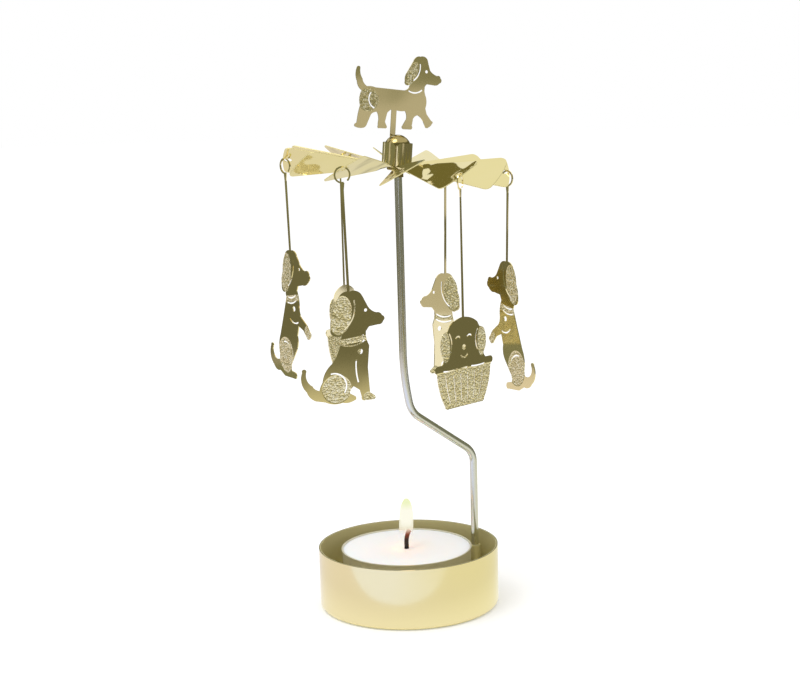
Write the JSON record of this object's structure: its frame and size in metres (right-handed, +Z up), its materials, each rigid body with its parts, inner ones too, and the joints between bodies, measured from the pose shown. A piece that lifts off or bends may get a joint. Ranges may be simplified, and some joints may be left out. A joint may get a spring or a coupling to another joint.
{
  "type": "candle carousel",
  "caption": "Candle carousel: a dish for a tealight, a bent rod with a needle point, and a leaned wind wheel that carries hanging sheet-metal dogs.",
  "frame": {"origin": "middle of the dish's underside", "axes": "+Z up along the rod's straight part, -Y the front that the picture shows"},
  "size_m": [0.0755, 0.072, 0.1571],
  "materials": {
    "brass_sheet": "polished",
    "brass_turned": "polished",
    "steel_wire": "bright drawn",
    "needle_steel": "hardened, ground",
    "foil": "bright foil",
    "tinplate": "tinned",
    "wax": "smooth paraffin wax",
    "wick_cotton": "charred cotton braid"
  },
  "bodies": {
    "stand": {"dish": "brass_sheet", "rod_socket": "brass_turned", "rod": "steel_wire", "needle_holder": "brass_turned", "pivot_needle": "needle_steel"},
    "tealight": {"tealight_cup": "foil", "wick_holder": "tinplate", "wick": "wick_cotton", "wax": "wax"},
    "wheel": {"wind_wheel": "brass_sheet", "bearing_cap": "brass_turned", "clamp_bush": "brass_turned", "top_figure": "brass_sheet"},
    "sitting_dog_front_body": {"sitting_dog_front": "brass_sheet"},
    "sitting_dog_back_body": {"sitting_dog_back": "brass_sheet"},
    "begging_dog_left_body": {"begging_dog_left": "brass_sheet"},
    "begging_dog_right_body": {"begging_dog_right": "brass_sheet"},
    "basket_dog_front_body": {"basket_dog_front": "brass_sheet"},
    "basket_dog_back_body": {"basket_dog_back": "brass_sheet"}
  },
  "joints": [
    {"name": "tealight_lift", "type": "slide", "parent": "stand", "child": "tealight", "axis": [0, 0, 1], "range_m": [0, 0.018]},
    {"name": "wheel_spin", "type": "hinge", "parent": "stand", "child": "wheel", "pos_m": [0, 0, 0.1315], "axis": [0, 0, 1], "continuous": true},
    {"name": "sitting_dog_front_swing", "type": "hinge", "parent": "wheel", "child": "sitting_dog_front_body", "pos_m": [-0.01479, -0.02765, 0.12842], "axis": [-0.8886, 0.4587, 0], "range_deg": [-12, 20]},
    {"name": "sitting_dog_back_swing", "type": "hinge", "parent": "wheel", "child": "sitting_dog_back_body", "pos_m": [0.01402, 0.02765, 0.12596], "axis": [0.8886, -0.4587, 0], "range_deg": [-12, 20]},
    {"name": "begging_dog_left_swing", "type": "hinge", "parent": "wheel", "child": "begging_dog_left_body", "pos_m": [-0.03145, -0.0013, 0.12985], "axis": [-0.0471, 0.9989, 0], "range_deg": [-12, 20]},
    {"name": "begging_dog_right_swing", "type": "hinge", "parent": "wheel", "child": "begging_dog_right_body", "pos_m": [0.03067, 0.0013, 0.12453], "axis": [0.0471, -0.9989, 0], "range_deg": [-12, 20]},
    {"name": "basket_dog_front_swing", "type": "hinge", "parent": "wheel", "child": "basket_dog_front_body", "pos_m": [0.01627, -0.02634, 0.12576], "axis": [-0.8415, -0.5402, 0], "range_deg": [-12, 20]},
    {"name": "basket_dog_back_swing", "type": "hinge", "parent": "wheel", "child": "basket_dog_back_body", "pos_m": [-0.01704, 0.02634, 0.12862], "axis": [0.8415, 0.5402, 0], "range_deg": [-12, 20]}
  ]
}
